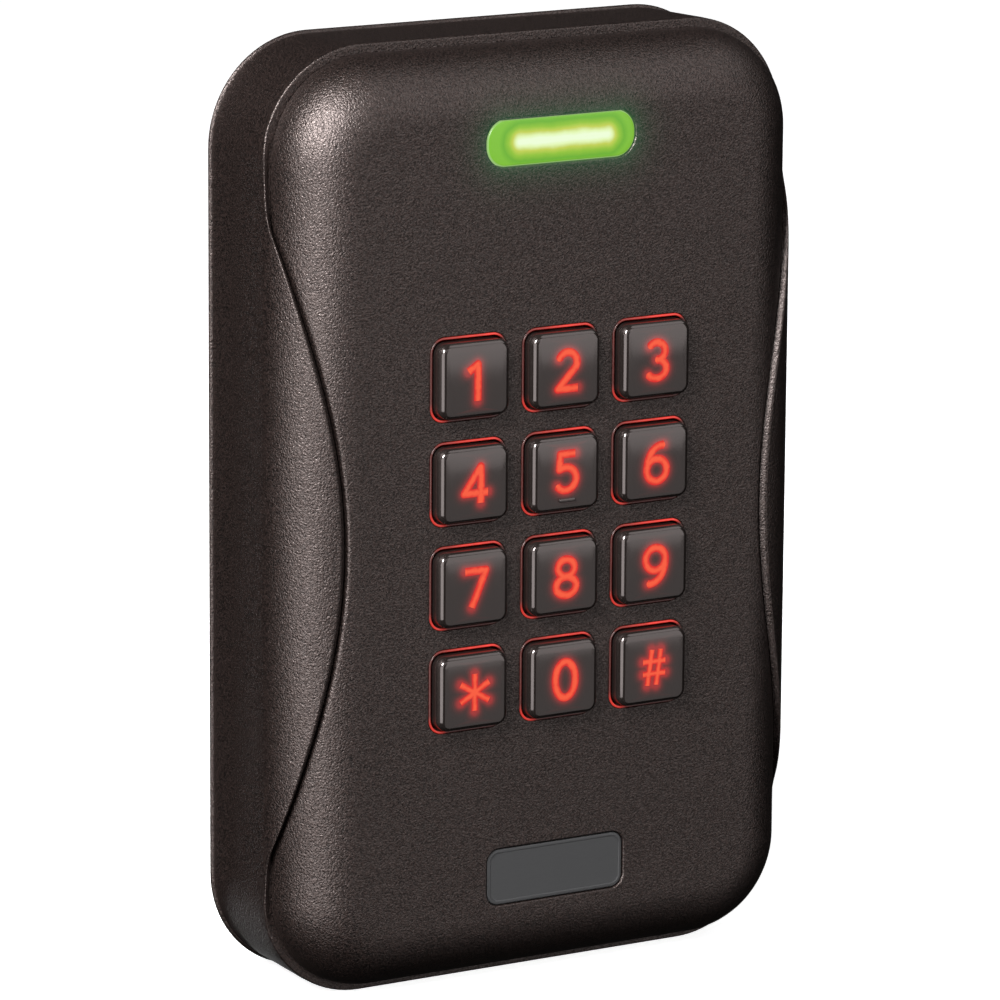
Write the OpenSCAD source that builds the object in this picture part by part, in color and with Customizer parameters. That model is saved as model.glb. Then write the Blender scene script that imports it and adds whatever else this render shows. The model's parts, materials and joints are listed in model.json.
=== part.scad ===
// Wall-mounted keypad access reader: a proximity reader with twelve push keys and a status light.
// Front view is along +Y, so the front faces -Y. X is to the right and Z is up.
// The origin is the middle of the wall face. "Depth" is the distance in front of the wall, in mm.

/* [Body] */
// Height of the reader
body_h = 130; // [108:1:160]
// Width of the reader
body_w = 81.4; // [67:0.2:100]
// Depth from the wall to the cheeks' highest point
body_depth = 24; // [24:0.5:30]
// Depth of the straight side wall, below the rounded front edge
side_depth = 15; // [15:0.5:21]
// Corner radius in the front view
corner_r = 15; // [13:0.5:20]
// Wall thickness of the rear housing
wall = 2.4; // [2:0.1:3]
// Depth of the floor's rear face, in front of the wall
floor_depth = 7.6; // [7.2:0.1:8]
// Thickness of the floor
floor_t = 1.6; // [1.2:0.1:2]

/* [Front cover] */
// How far the seam comes in from the side at the waist
waist_in = 8; // [6:0.2:10]
// Half the length of the hourglass-shaped seam
flare_len = 55; // [44:1:66]
// How far the waist lies below the middle of the body
waist_drop = 1; // [0:0.5:4]
// How far the cover's outline stands inside the body's
cover_inset = 1.2; // [0.8:0.1:2]
// How far the cover's face lies below the cheeks
cover_drop = 0.1; // [0:0.1:0.6]
// Thickness of the cover
cover_t = 2.4; // [2:0.1:2.9]
// Gap along the seam
seam_gap = 0.3; // [0.2:0.05:0.5]
// Thickness of the cover's skirt
skirt_t = 1.6; // [1.2:0.1:2]

/* [Keypad] */
// Width of a keycap
key_w = 10.6; // [8.8:0.05:12.8]
// Height of a keycap
key_h = 10.3; // [8.5:0.05:12.8]
// Width of the cover left between two key windows
key_web = 2.45; // [2:0.05:3]
// Gap between a keycap and its window
key_gap = 0.6; // [0.4:0.01:0.7]
// Thickness of the clear surround in each key window
surround_t = 0.25; // [0.2:0.01:0.3]
// Corner radius of a keycap
key_corner_r = 1.5; // [1:0.1:2]
// Rounding of a keycap's front edge
key_edge_r = 0.8; // [0.4:0.1:1]
// How far a keycap stands in front of the cover
key_proud = 2.1; // [1:0.1:3]
// How far a key travels
key_travel = 0.8; // [0.4:0.05:0.9]
// How far the keypad's centre lies below the middle of the body
keypad_drop = 0.86; // [0:0.1:3]

/* [Light bar] */
// Width of the light bar
bar_w = 23.1; // [19:0.1:28]
// Height of the light bar
bar_h = 6.35; // [5.2:0.05:7.6]
// Corner radius of the light bar
bar_r = 2.6; // [2:0.1:2.6]
// Distance from the top of the body to the light bar's centre
bar_from_top = 13.35; // [12:0.05:16]

/* [Badge] */
// Width of the blank badge
badge_w = 21.6; // [18:0.1:26]
// Height of the blank badge
badge_h = 7.85; // [6.5:0.05:9.4]
// Corner radius of the badge
badge_r = 1.8; // [1:0.1:2.5]
// Thickness of the badge
badge_t = 0.8; // [0.5:0.1:1]
// Distance from the bottom of the body to the badge's centre
badge_from_bottom = 15.7; // [14:0.1:18]

/* [Mounting] */
// Distance between the wall box's two screws
box_screw_pitch = 83.3; // [60.3, 83.3]
// Width of each mounting slot
slot_w = 4.4; // [4:0.1:5]
// Length of each mounting slot
slot_len = 8; // [6:0.5:9]
// Width of the cable aperture
cable_w = 34; // [28:1:38]
// Height of the cable aperture
cable_h = 36; // [30:1:38]
// Thickness of the mounting plate
plate_t = 1.5; // [1.2:0.1:2]
// Depth of the security screw's axis
lock_depth = 4.4; // [4.2:0.1:4.8]

/* [Electronics] */
// Thickness of both circuit boards
board_t = 1.4; // [1:0.1:1.6]
// Height of the posts under the main board
post_h = 2; // [1.6:0.1:2.2]
// Thickness of the rubber mat
mat_t = 1; // [0.8:0.1:1.2]
// Height of the rubber domes above the mat
dome_h = 2.2; // [2:0.1:2.4]
// Number of cable terminals
terminals = 10; // [6:1:10]

/* [Hidden] */

$fn = 64;
key_names = ["1", "2", "3", "4", "5", "6", "7", "8", "9", "star", "0", "hash"];
key_cols = 3;
key_rows = 4;

// Clearances
clear = 0.1;        // round a piece that is fixed in a pocket or window
press_gap = 0.02;   // between a key's post, its dome and its contact pill
lift = 0.2;         // between a key's flange and the cover, at rest

// Depths, counted from the wall towards the front
edge_r = body_depth - side_depth;
cover_face = body_depth - cover_drop;
cover_back = cover_face - cover_t;
flange_t = 0.9;
flange_front = cover_back - lift;
flange_back = flange_front - flange_t;
mat_front = flange_back - dome_h;
keypad_front = mat_front - mat_t;
keypad_rear = keypad_front - board_t;
guide_t = 1;
guide_front = mat_front + guide_t;
floor_front = floor_depth + floor_t;
main_rear = floor_front + post_h;
main_front = main_rear + board_t;
land_gap = 0.2;
skirt_rear = side_depth - 2.2;
seal_t = 1;
seal_rear = skirt_rear - seal_t;
key_front = cover_face + key_proud;

// Places in the front view
waist_x = body_w / 2 - waist_in;
keypad_z = -keypad_drop;
bar_z = body_h / 2 - bar_from_top;
badge_z = badge_from_bottom - body_h / 2;
skirt_inset = wall + 0.2;
boss_x = body_w / 2 - 11.7;
boss_z = body_h / 2 - 10.5;
boss_r = 3.6;
board_w = 2 * (waist_x - seam_gap / 2 - skirt_t - 1.4);
board_h = 2 * (boss_z - boss_r - 0.9);
main_screw_x = board_w / 2 - 3.9;
main_screw_z = board_h / 2 - 4;
post_r = 2.6;
keypad_screw_x = board_w / 2 - 7.4;
keypad_screw_z = board_h / 2 - 7;

// Keys
window_w = key_w + 2 * key_gap;
window_h = key_h + 2 * key_gap;
window_r = key_corner_r + key_gap;
flange_lap = 0.5;
flange_w = window_w + 2 * flange_lap;
flange_h = window_h + 2 * flange_lap;
key_pitch = max(window_w, window_h) + key_web;
field_w = (key_cols - 1) * key_pitch + flange_w;
field_h = (key_rows - 1) * key_pitch + flange_h;
rib_t = 1.2;
rib_gap = 1;
mat_w = field_w + 2 * (rib_gap + rib_t + 0.3);
mat_h = field_h + 2 * (rib_gap + rib_t + 0.3);
dome_base_r = 4.4;
dome_top_r = 3;
dome_wall = 0.6;
pill_r = 1.6;
pad_r = 2.4;
pad_t = 0.1;
nib_w = 2.6;
nib_h = 0.5;
nib_proud = 0.25;
nib_up = 1.6;           // from the cap's lower edge
cap_wall = 1.2;         // side wall of the hollow keycap
cap_front_t = 1.4;
cap_post_r = 2.6;

// Screws
screw_r = 1.35;
small_screw_r = 1.1;
thread_gap = 0.05;
screw_head_r = 2.6;
screw_head_h = 1.8;
small_head_r = 2.1;
small_head_h = 1.3;
cover_screw_seat = floor_front + 0.6;
boss_meet = skirt_rear + 0.2;
cover_screw_tip = cover_back - 2.5;
cover_boss_r = 3;
keypad_boss_r = 2.4;
head_gap = 0.3;         // round a screw's head
shank_gap = 0.2;        // round a screw's shank

// Mounting plate
plate_inset = wall + 0.8;
lug_w = 16;
lug_depth = 7.2;
lug_z = -(body_h / 2 - plate_inset);
lock_r = 1.45;
lock_head_r = 2.7;
lock_head_h = 1.4;
nut_r = 2.4;
nut_h = 2;
hook_w = 6;
hook_slot_w = hook_w + 1.4;
hook_x = main_screw_x - post_r - 0.8 - hook_slot_w / 2;
hook_z = body_h / 2 - 21;
hook_lip = 2.5;
hook_drop = 3.2;
hook_window_h = 9;
hook_depth = floor_front + 0.15 + plate_t;
lock_gap = 0.25;        // round the security screw's shank
nut_past = 1;           // how far the screw's end stands past the nut
pin_hex_r = 1.2;

// Terminal block, on the rear of the main board
terminal_pitch = 3.5;
terminal_w = terminals * terminal_pitch + 0.6;
terminal_h = 7.4;
terminal_rear = 3.2;
terminal_z = 12;
terminal_gap = 0.6;     // round the block in the floor's aperture
well_r = 1.5;
well_depth = 3.4;
well_up = 1.2;          // of a screw's axis above the block's middle
wire_r = 1.1;
wire_depth = 5.4;
wire_len = 5;

// Parts on the boards
tall_part_h = keypad_rear - main_front - 0.4;
parts_z = 14 - board_h / 2;         // row of tall parts near the main board's lower edge
buzzer_r = 6;
buzzer_x = keypad_screw_x - small_head_r - buzzer_r - 1.05;
header_z = board_h / 2 - 14;
header_w = 16;
header_h = 4.6;
header_wall = 2;
tongue_h = 17;                      // of the keypad board, behind the light bar
led_w = 1.6;
led_h = 0.7;
coil_turns = 3;
coil_step = 1;
track_w = 0.6;
track_t = 0.1;

// Light bar
lens_flange_t = 1.2;
lens_lap = 1.5;
lens_set_back = 0.2;
badge_set_back = 0.2;
diffuser_leg_w = 1.4;

// --- Shapes drawn in the front view ---

// Extrudes a front-view outline from depth d0 to depth d1
module slab(d0, d1) {
    translate([0, -d0, 0]) rotate([90, 0, 0]) linear_extrude(d1 - d0) children();
}

// A round bar or hole along the depth
module peg(x, z, r, d0, d1) {
    translate([x, -d0, z]) rotate([90, 0, 0]) cylinder(r = r, h = d1 - d0);
}

module four(x, z) {
    for (sx = [-1, 1], sz = [-1, 1]) translate([sx * x, 0, sz * z]) children();
}

module round_rect(w, h, r) {
    square([w - 2 * r, h], center = true);
    square([w, h - 2 * r], center = true);
    for (sx = [-1, 1], sy = [-1, 1])
        translate([sx * (w / 2 - r), sy * (h / 2 - r)]) circle(r);
}

// Half of a cross-section: straight side, then a quarter round up to the front face
module edge_profile(reach, thick, r) {
    square([reach - r, thick]);
    square([reach, thick - r]);
    translate([reach - r, thick - r]) intersection() {
        circle(r);
        square(r);
    }
}

// A rounded rectangle whose front edge is rounded by edge, from depth d0 to depth d1
module pillow(w, h, corner, edge, d0, d1) {
    for (sx = [-1, 1], sz = [-1, 1])
        translate([sx * (w / 2 - corner), -d0, sz * (h / 2 - corner)])
            rotate([90, 0, 0]) rotate_extrude() edge_profile(corner, d1 - d0, edge);
    for (side = [0, 1]) {
        mirror([side, 0, 0]) translate([0, -d0, corner - h / 2]) mirror([0, 1, 0])
            linear_extrude(h - 2 * corner) edge_profile(w / 2, d1 - d0, edge);
        mirror([0, 0, side]) translate([corner - w / 2, -d0, 0]) rotate([0, 90, 0])
            rotate([0, 0, 180]) linear_extrude(w - 2 * corner) edge_profile(h / 2, d1 - d0, edge);
    }
}

// The body's full outer form, moved in by inset on every side
module body_form(inset, d0, front) {
    pillow(body_w - 2 * inset, body_h - 2 * inset, corner_r - inset,
           edge_r - max(0, inset - cover_inset), d0, front);
}

// Half-width of the seam at a height t above the waist
function seam_x(t) = waist_x + waist_in / 2 * (1 - cos(180 * min(abs(t), flare_len) / flare_len));

// The hourglass region inside the seam, grown by extra
module hourglass(extra) {
    steps = 18;
    reach = body_h / 2 + waist_drop + 2;
    right = [for (i = [-steps:steps]) let (t = i / steps * reach) [seam_x(t) + extra, t - waist_drop]];
    left = [for (i = [steps:-1:-steps]) let (t = i / steps * reach) [-seam_x(t) - extra, t - waist_drop]];
    polygon(concat(right, left));
}

// Outline of the skirt's outer face, moved in by inset
module skirt_outline(inset) {
    intersection() {
        round_rect(body_w - 2 * (skirt_inset + inset), body_h - 2 * (skirt_inset + inset),
                   corner_r - skirt_inset - inset);
        hourglass(-seam_gap / 2 - inset);
    }
}

module skirt_ring() {
    difference() {
        skirt_outline(0);
        skirt_outline(skirt_t);
    }
}

function key_x(i) = (i % key_cols - (key_cols - 1) / 2) * key_pitch;
function key_z(i) = keypad_z + ((key_rows - 1) / 2 - floor(i / key_cols)) * key_pitch;

// Puts a copy of the children at every key
module at_keys() {
    for (i = [0:key_cols * key_rows - 1]) translate([key_x(i), 0, key_z(i)]) children();
}

module at_led_slots() {
    for (x = [-0.5, 0.5], row = [-1, 0, 1])
        translate([x * key_pitch, 0, keypad_z + row * key_pitch]) children();
}

// A small box on the front of the main board
module board_part(x, z, w, h, t) {
    translate([x, 0, z]) slab(main_front, main_front + t) square([w, h], center = true);
}

// A screw along the depth: its head spans the first head_h, towards the side given by dir
module depth_screw(r, head_r, head_h, seat, tip, dir) {
    union() {
        translate([0, -min(seat, tip), 0]) rotate([90, 0, 0]) cylinder(r = r, h = abs(tip - seat));
        difference() {
            translate([0, -(dir > 0 ? seat : seat - head_h), 0]) rotate([90, 0, 0])
                cylinder(r = head_r, h = head_h);
            translate([0, -(dir > 0 ? seat + head_h * 0.4 : seat - head_h - 1), 0]) rotate([90, 0, 0])
                for (turn = [0, 90]) rotate(turn)
                    translate([-head_r * 0.6, -0.3, 0]) cube([head_r * 1.2, 0.6, head_h * 0.6 + 1]);
        }
    }
}

// --- Wall side ---

module mounting_plate() {
    color("silver") difference() {
        union() {
            slab(0, plate_t) round_rect(body_w - 2 * plate_inset, body_h - 2 * plate_inset,
                                        corner_r - plate_inset);
            // Lug that takes the security screw
            translate([-lug_w / 2, -lug_depth, lug_z]) cube([lug_w, lug_depth, plate_t]);
            for (side = [-1, 1]) translate([side * hook_x - hook_w / 2, -hook_depth, hook_z]) {
                cube([hook_w, hook_depth, plate_t]);
                cube([hook_w, plate_t, plate_t + hook_lip]);
            }
        }
        for (side = [-1, 1]) translate([0, 0, side * box_screw_pitch / 2])
            slab(-1, plate_t + 1) round_rect(slot_w, slot_len, slot_w / 2 - 0.001);
        slab(-1, plate_t + 1) round_rect(cable_w, cable_h, 4);
        // Windows left where the hooks are bent out of the plate
        for (side = [-1, 1]) translate([side * hook_x, 0, hook_z + plate_t + hook_window_h / 2])
            slab(-1, plate_t + 1) square([hook_w + 1, hook_window_h], center = true);
        translate([0, -lock_depth, lug_z - 1]) cylinder(r = lock_r + lock_gap, h = plate_t + 2);
    }
}

module clinch_nut() {
    color("gold") translate([0, -lock_depth, lug_z + plate_t]) difference() {
        cylinder(r = nut_r, h = nut_h);
        translate([0, 0, -1]) cylinder(r = lock_r + thread_gap, h = nut_h + 2);
    }
}

module security_screw() {
    seat = lock_head_h + clear - body_h / 2;
    color("dimgray") translate([0, -lock_depth, 0]) difference() {
        union() {
            translate([0, 0, seat])
                cylinder(r = lock_r, h = lug_z + plate_t + nut_h + nut_past - seat);
            translate([0, 0, seat - lock_head_h]) cylinder(r = lock_head_r, h = lock_head_h);
        }
        // Recess for a key with six sides
        translate([0, 0, seat - lock_head_h - 1]) cylinder(r = pin_hex_r, h = 1.9, $fn = 6);
    }
}

module rear_housing() {
    color([0.16, 0.14, 0.13]) difference() {
        union() {
            difference() {
                body_form(0, 0, body_depth);
                body_form(wall, -1, body_depth - wall);
                slab(side_depth, body_depth + 1) hourglass(seam_gap / 2);
            }
            difference() {
                slab(floor_depth, floor_front)
                    round_rect(body_w - wall, body_h - wall, corner_r - wall / 2);
                // Aperture for the terminal block
                translate([0, 0, terminal_z]) slab(floor_depth - 1, floor_front + 1)
                    round_rect(terminal_w + 2 * terminal_gap, terminal_h + 2 * terminal_gap, 0.5);
                // Slots for the mounting plate's hooks
                for (side = [-1, 1])
                    translate([side * hook_x, 0, hook_z + (plate_t + hook_lip - hook_drop) / 2])
                        slab(floor_depth - 1, floor_front + 1)
                            square([hook_slot_w, plate_t + hook_lip + hook_drop], center = true);
                // Sight hole for the tamper sensor
                peg(0, hook_z, 2.2, floor_depth - 1, floor_front + 1);
            }
            slab(floor_front - 0.1, seal_rear) skirt_ring();
            four(boss_x, boss_z) peg(0, 0, boss_r, floor_depth, boss_meet);
            four(main_screw_x, main_screw_z) peg(0, 0, post_r, floor_depth, main_rear);
        }
        four(boss_x, boss_z) {
            peg(0, 0, screw_head_r + head_gap, floor_depth - 1, cover_screw_seat);
            peg(0, 0, screw_r + head_gap, floor_depth, boss_meet + 1);
        }
        four(main_screw_x, main_screw_z)
            peg(0, 0, small_screw_r + thread_gap, floor_depth + 0.6, main_rear + 1);
        // Hole and counterbore for the security screw
        translate([0, -lock_depth, -body_h / 2 - 1]) {
            cylinder(r = lock_r + lock_gap, h = wall + 2);
            cylinder(r = lock_head_r + 0.2, h = lock_head_h + clear + 1);
        }
    }
}

module cover_seal() {
    color("black") slab(seal_rear, skirt_rear) skirt_ring();
}

module cover_screws() {
    color("silver") four(boss_x, boss_z)
        depth_screw(screw_r, screw_head_r, screw_head_h, cover_screw_seat, cover_screw_tip, -1);
}

// --- Front cover and what is set into it ---

module front_cover() {
    color([0.2, 0.17, 0.16]) difference() {
        union() {
            intersection() {
                difference() {
                    body_form(cover_inset, floor_depth, cover_face);
                    body_form(cover_inset + cover_t, floor_depth - 1, cover_back);
                }
                slab(side_depth + land_gap, body_depth + 1) hourglass(-seam_gap / 2);
            }
            intersection() {
                body_form(cover_inset, floor_depth, cover_face);
                union() {
                    slab(skirt_rear, body_depth + 1) skirt_ring();
                    four(boss_x, boss_z)
                        peg(0, 0, cover_boss_r, boss_meet + clear, cover_back + 0.5);
                    four(keypad_screw_x, keypad_screw_z)
                        peg(0, 0, keypad_boss_r, keypad_front, cover_back + 0.5);
                    translate([0, 0, keypad_z]) slab(guide_front, cover_back + 0.5) keypad_rib();
                }
            }
        }
        at_keys() slab(cover_back - 1, cover_face + 1) round_rect(window_w, window_h, window_r);
        translate([0, 0, bar_z]) {
            slab(cover_back - 1, cover_face + 1)
                round_rect(bar_w + 2 * clear, bar_h + 2 * clear, bar_r + clear);
            // Flat seat for the lens's flange
            slab(cover_back - lens_flange_t - 1, cover_back)
                round_rect(bar_w + 2 * (lens_lap + clear), bar_h + 2 * (lens_lap + clear),
                           bar_r + lens_lap + clear);
        }
        translate([0, 0, badge_z]) slab(cover_face - badge_t - badge_set_back, cover_face + 1)
            round_rect(badge_w + 2 * clear, badge_h + 2 * clear, badge_r + clear);
        four(boss_x, boss_z) peg(0, 0, screw_r + thread_gap, boss_meet, cover_screw_tip + 0.4);
        four(keypad_screw_x, keypad_screw_z)
            peg(0, 0, small_screw_r + thread_gap, keypad_front - 1, cover_back - 0.4);
    }
}

// Rib round the key field that holds the light guide and the mat down
module keypad_rib() {
    inner_w = field_w + 2 * rib_gap;
    inner_h = field_h + 2 * rib_gap;
    difference() {
        square([inner_w + 2 * rib_t, inner_h + 2 * rib_t], center = true);
        square([inner_w, inner_h], center = true);
    }
}

module light_bar_lens() {
    color([0.55, 0.95, 0.3]) translate([0, 0, bar_z]) {
        slab(cover_back - lens_flange_t / 2, cover_face - lens_set_back)
            round_rect(bar_w, bar_h, bar_r);
        slab(cover_back - lens_flange_t, cover_back)
            round_rect(bar_w + 2 * lens_lap, bar_h + 2 * lens_lap, bar_r + lens_lap);
    }
}

module light_bar_diffuser() {
    front = cover_back - lens_flange_t - clear;
    color("white") translate([0, 0, bar_z]) {
        slab(keypad_front + led_h + 0.2, front) round_rect(bar_w, bar_h - 0.4, 1);
        for (side = [-1, 1]) translate([side * (bar_w / 2 - diffuser_leg_w), 0, 0])
            slab(keypad_front, front) square([diffuser_leg_w, 3], center = true);
    }
}

// Clear rings that line the key windows and carry the backlight to the front
module key_surrounds() {
    outer_gap = 0.02;
    inner_gap = outer_gap + surround_t;
    color([1, 0.3, 0.25]) at_keys() slab(cover_back, cover_face) difference() {
        round_rect(window_w - 2 * outer_gap, window_h - 2 * outer_gap, window_r - outer_gap);
        round_rect(window_w - 2 * inner_gap, window_h - 2 * inner_gap, window_r - inner_gap);
    }
}

module badge_plate() {
    color([0.12, 0.12, 0.13]) translate([0, 0, badge_z])
        slab(cover_face - badge_t - badge_set_back, cover_face - badge_set_back)
            round_rect(badge_w, badge_h, badge_r);
}

// --- Main board ---

module main_board() {
    color("darkgreen") difference() {
        slab(main_rear, main_front) round_rect(board_w, board_h, 1.5);
        four(main_screw_x, main_screw_z)
            peg(0, 0, small_screw_r + shank_gap, main_rear - 1, main_front + 1);
    }
}

module main_board_screws() {
    color("silver") four(main_screw_x, main_screw_z)
        depth_screw(small_screw_r, small_head_r, small_head_h, main_front, floor_depth + 0.8, 1);
}

function terminal_x(i) = (i - (terminals - 1) / 2) * terminal_pitch;

module terminal_block() {
    color("seagreen") translate([0, 0, terminal_z]) difference() {
        slab(terminal_rear, main_rear) square([terminal_w, terminal_h], center = true);
        for (i = [0:terminals - 1]) translate([terminal_x(i), 0, 0]) {
            peg(0, well_up, well_r, terminal_rear - 1, terminal_rear + well_depth);
            // Wire entry, in the lower face
            translate([0, -terminal_rear - wire_depth, -terminal_h / 2 - 1])
                cylinder(r = wire_r, h = wire_len);
        }
    }
}

module terminal_screws() {
    color("silver") for (i = [0:terminals - 1]) translate([terminal_x(i), 0, terminal_z + well_up])
        difference() {
            peg(0, 0, well_r - clear, terminal_rear + 0.8, terminal_rear + well_depth);
            translate([-2, -terminal_rear - 1.5, -0.2]) cube([4, 2, 0.4]);
        }
}

module processor_chip() {
    color("#202020") board_part(-8, 8, 10, 10, 1.4);
}

module radio_chip() {
    color("#202020") board_part(14, 12, 7, 7, 0.9);
}

module power_regulator() {
    color("#202020") {
        board_part(-15, parts_z, 6.5, 6, 2.2);
        board_part(-15, parts_z + 4.2, 5.4, 2.4, 0.8);
    }
}

module power_coil() {
    color("gray") translate([-4, 0, parts_z]) difference() {
        slab(main_front, main_front + tall_part_h) round_rect(6.5, 6.5, 1.5);
        peg(0, 0, 1.6, main_front + tall_part_h - 0.5, main_front + tall_part_h + 1);
    }
}

module timing_crystal() {
    color("silver") translate([-8, 0, -2]) slab(main_front, main_front + 1) round_rect(5, 3.2, 0.6);
}

module board_capacitors() {
    color("tan") for (i = [0:3]) {
        board_part(-20 + 4 * i, 20, 1.6, 3.2, 1.2);
        board_part(6 + 4 * i, 0, 1.6, 3.2, 1.2);
    }
}

module buzzer() {
    color("#181818") translate([buzzer_x, 0, parts_z]) difference() {
        peg(0, 0, buzzer_r, main_front, main_front + tall_part_h);
        peg(0, 0, 0.9, main_front + tall_part_h - 1, main_front + tall_part_h + 1);
    }
}

// Optical sensor that sees the mounting plate through the floor's sight hole
module tamper_sensor() {
    color("#181818") translate([0, 0, hook_z]) difference() {
        slab(main_rear - 1.5, main_rear) square([3.6, 2.8], center = true);
        for (side = [-1, 1]) peg(side * 0.9, 0, 0.6, main_rear - 2, main_rear - 1.2);
    }
}

module header_plug() {
    color("ivory") translate([0, 0, header_z]) {
        slab(main_front, main_front + 0.6) square([header_w, header_h], center = true);
        slab(main_front, keypad_rear - 0.8)
            square([header_w - 2 * header_wall - 0.4, 1.8], center = true);
    }
}

module header_socket() {
    color("ivory") translate([0, 0, header_z]) difference() {
        slab(main_front + 0.7, keypad_rear) square([header_w, header_h], center = true);
        slab(main_front, keypad_rear - 0.6) square([header_w - 2 * header_wall, 2.2], center = true);
    }
}

// --- Keypad board ---

module keypad_board() {
    color("darkgreen") difference() {
        slab(keypad_rear, keypad_front) union() {
            round_rect(board_w, board_h, 1.5);
            // Tongue that carries the status lights
            translate([0, bar_z - 3]) square([2 * (boss_x - boss_r - 3.4), tongue_h], center = true);
        }
        four(keypad_screw_x, keypad_screw_z)
            peg(0, 0, small_screw_r + shank_gap, keypad_rear - 1, keypad_front + 1);
    }
}

module keypad_board_screws() {
    color("silver") four(keypad_screw_x, keypad_screw_z)
        depth_screw(small_screw_r, small_head_r, small_head_h, keypad_rear, cover_back - 0.8, -1);
}

// Loop of copper track on the rear of the keypad board
module antenna_coil() {
    color("orange") for (turn = [0:coil_turns - 1]) slab(keypad_rear - track_t, keypad_rear)
        difference() {
            antenna_turn(turn * coil_step);
            antenna_turn(turn * coil_step + track_w);
        }
}

module antenna_turn(inset) {
    edge = 2 * (0.4 + inset);
    square([board_w - edge, board_h - edge], center = true);
}

module status_leds() {
    color("white") for (i = [-1:1]) translate([i * 7, 0, bar_z])
        slab(keypad_front, keypad_front + led_h) square([led_w, 0.9], center = true);
}

module backlight_leds() {
    color("red") at_led_slots()
        slab(keypad_front, keypad_front + led_h) square([led_w, 0.9], center = true);
}

// Two half-round pads under each key
module contact_pads() {
    color("gold") at_keys() slab(keypad_front, keypad_front + pad_t) difference() {
        circle(pad_r);
        square([0.4, 2 * pad_r + 1], center = true);
    }
}

module keypad_mat() {
    color([0.8, 0.35, 0.3]) difference() {
        union() {
            translate([0, 0, keypad_z]) slab(keypad_front, mat_front) round_rect(mat_w, mat_h, 2);
            at_keys() translate([0, -mat_front, 0]) rotate([90, 0, 0])
                cylinder(r1 = dome_base_r, r2 = dome_top_r, h = dome_h - press_gap);
        }
        at_keys() {
            translate([0, -mat_front, 0]) rotate([90, 0, 0])
                cylinder(r1 = dome_base_r - dome_wall, r2 = dome_top_r - dome_wall,
                         h = dome_h - press_gap - dome_wall);
            peg(0, 0, dome_base_r - dome_wall, keypad_front - 1, mat_front);
        }
        at_led_slots() slab(keypad_front - 1, mat_front + 1) square([led_w + 1, 1.9], center = true);
    }
}

// Clear sheet that spreads the backlight round the domes
module key_light_guide() {
    color([1, 0.4, 0.35]) difference() {
        translate([0, 0, keypad_z]) slab(mat_front, guide_front) round_rect(mat_w - 0.4, mat_h - 0.4, 1.5);
        at_keys() peg(0, 0, dome_base_r + 0.3, mat_front - 1, guide_front + 1);
    }
}

// --- Keys ---

// A keycap with its retaining flange, hollow behind round a central post
module keycap(name) {
    i = search([name], key_names)[0];
    color([0.2, 0.19, 0.19]) translate([key_x(i), 0, key_z(i)]) {
        difference() {
            union() {
                pillow(key_w, key_h, key_corner_r, key_edge_r, flange_front - 0.2, key_front);
                slab(flange_back, flange_front) round_rect(flange_w, flange_h, window_r);
            }
            difference() {
                slab(flange_back - 1, key_front - cap_front_t)
                    round_rect(key_w - 2 * cap_wall, key_h - 2 * cap_wall, 0.6);
                peg(0, 0, cap_post_r, flange_back - 2, key_front);
            }
        }
        // Locating nib on the middle key
        if (name == "5") translate([0, 0, nib_up - key_h / 2])
            slab(key_front - 0.2, key_front + nib_proud) round_rect(nib_w, nib_h, nib_h / 2 - 0.001);
    }
}

// The rubber nub and conductive pill under a key's dome
module contact_pill(name) {
    i = search([name], key_names)[0];
    rear = keypad_front + pad_t + key_travel + 0.05;
    color("#303030")
        peg(key_x(i), key_z(i), pill_r, rear, flange_back - dome_wall - 2 * press_gap);
}

mounting_plate();
clinch_nut();
security_screw();
rear_housing();
cover_seal();
front_cover();
light_bar_lens();
light_bar_diffuser();
badge_plate();
key_surrounds();
cover_screws();
main_board();
main_board_screws();
terminal_block();
terminal_screws();
processor_chip();
radio_chip();
power_regulator();
power_coil();
timing_crystal();
board_capacitors();
buzzer();
tamper_sensor();
header_plug();
header_socket();
keypad_board();
keypad_board_screws();
antenna_coil();
status_leds();
backlight_leds();
contact_pads();
keypad_mat();
key_light_guide();
for (name = key_names) {
    keycap(name);
    contact_pill(name);
}
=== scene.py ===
"""Looks of the wall-mounted keypad access reader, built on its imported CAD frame.

Shapes are worked out in millimetres as (x, depth, z), where depth is the distance in front of the
wall, and become metres in the frame (X right, -Y front, Z up) when a mesh is made.
"""
import json
import math

import bmesh
import bpy
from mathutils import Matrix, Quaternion, Vector, kdtree
from mathutils.geometry import delaunay_2d_cdt


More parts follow.
